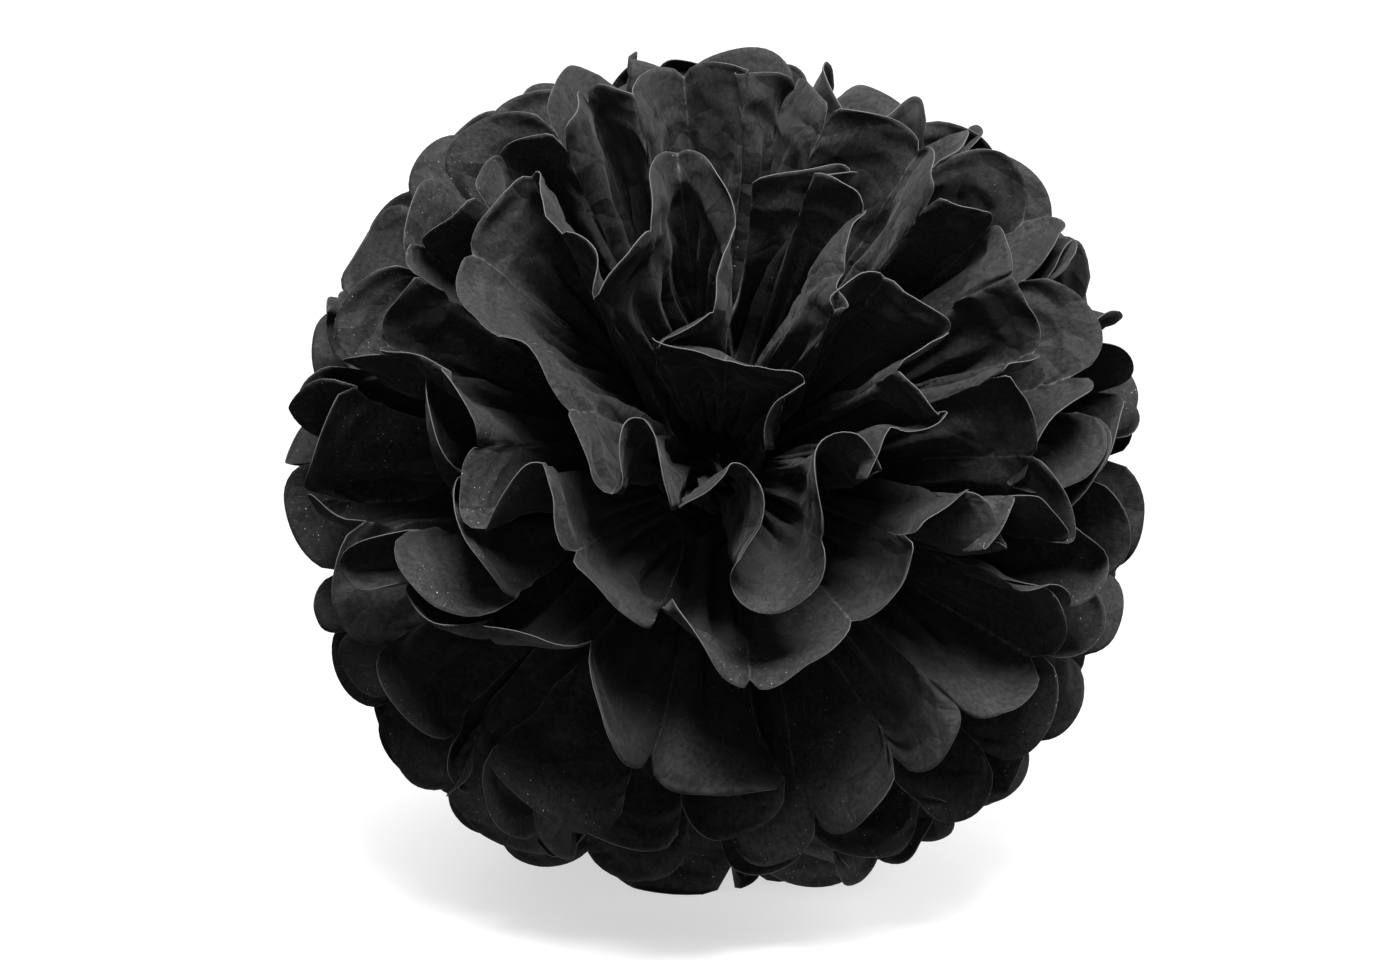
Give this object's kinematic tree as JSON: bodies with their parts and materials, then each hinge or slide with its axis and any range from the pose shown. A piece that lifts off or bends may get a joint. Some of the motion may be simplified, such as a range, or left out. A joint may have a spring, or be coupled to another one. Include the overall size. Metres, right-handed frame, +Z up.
{
  "type": "tissue paper pom pom",
  "caption": "Fluffy ball of pleated black tissue paper, wired round its middle and pulled out into petals with round ends. A light party and nursery decoration.",
  "frame": {"origin": "on the table, under the middle of the ball", "axes": "+Z up, -Y towards the front, where the heart of the flower looks out, +X to the front's right"},
  "size_m": [0.245, 0.2464, 0.2416],
  "materials": {
    "black_tissue": "soft matt tissue with a fine fibrous mottling",
    "wrapped_wire": "thin steel wire wrapped in dark green paper"
  },
  "bodies": {
    "root": {"sheet_01": "black_tissue", "sheet_02": "black_tissue", "sheet_03": "black_tissue", "sheet_04": "black_tissue", "sheet_05": "black_tissue", "sheet_06": "black_tissue", "sheet_07": "black_tissue", "sheet_08": "black_tissue", "sheet_09": "black_tissue", "sheet_10": "black_tissue", "wire_tie": "wrapped_wire"}
  },
  "joints": []
}
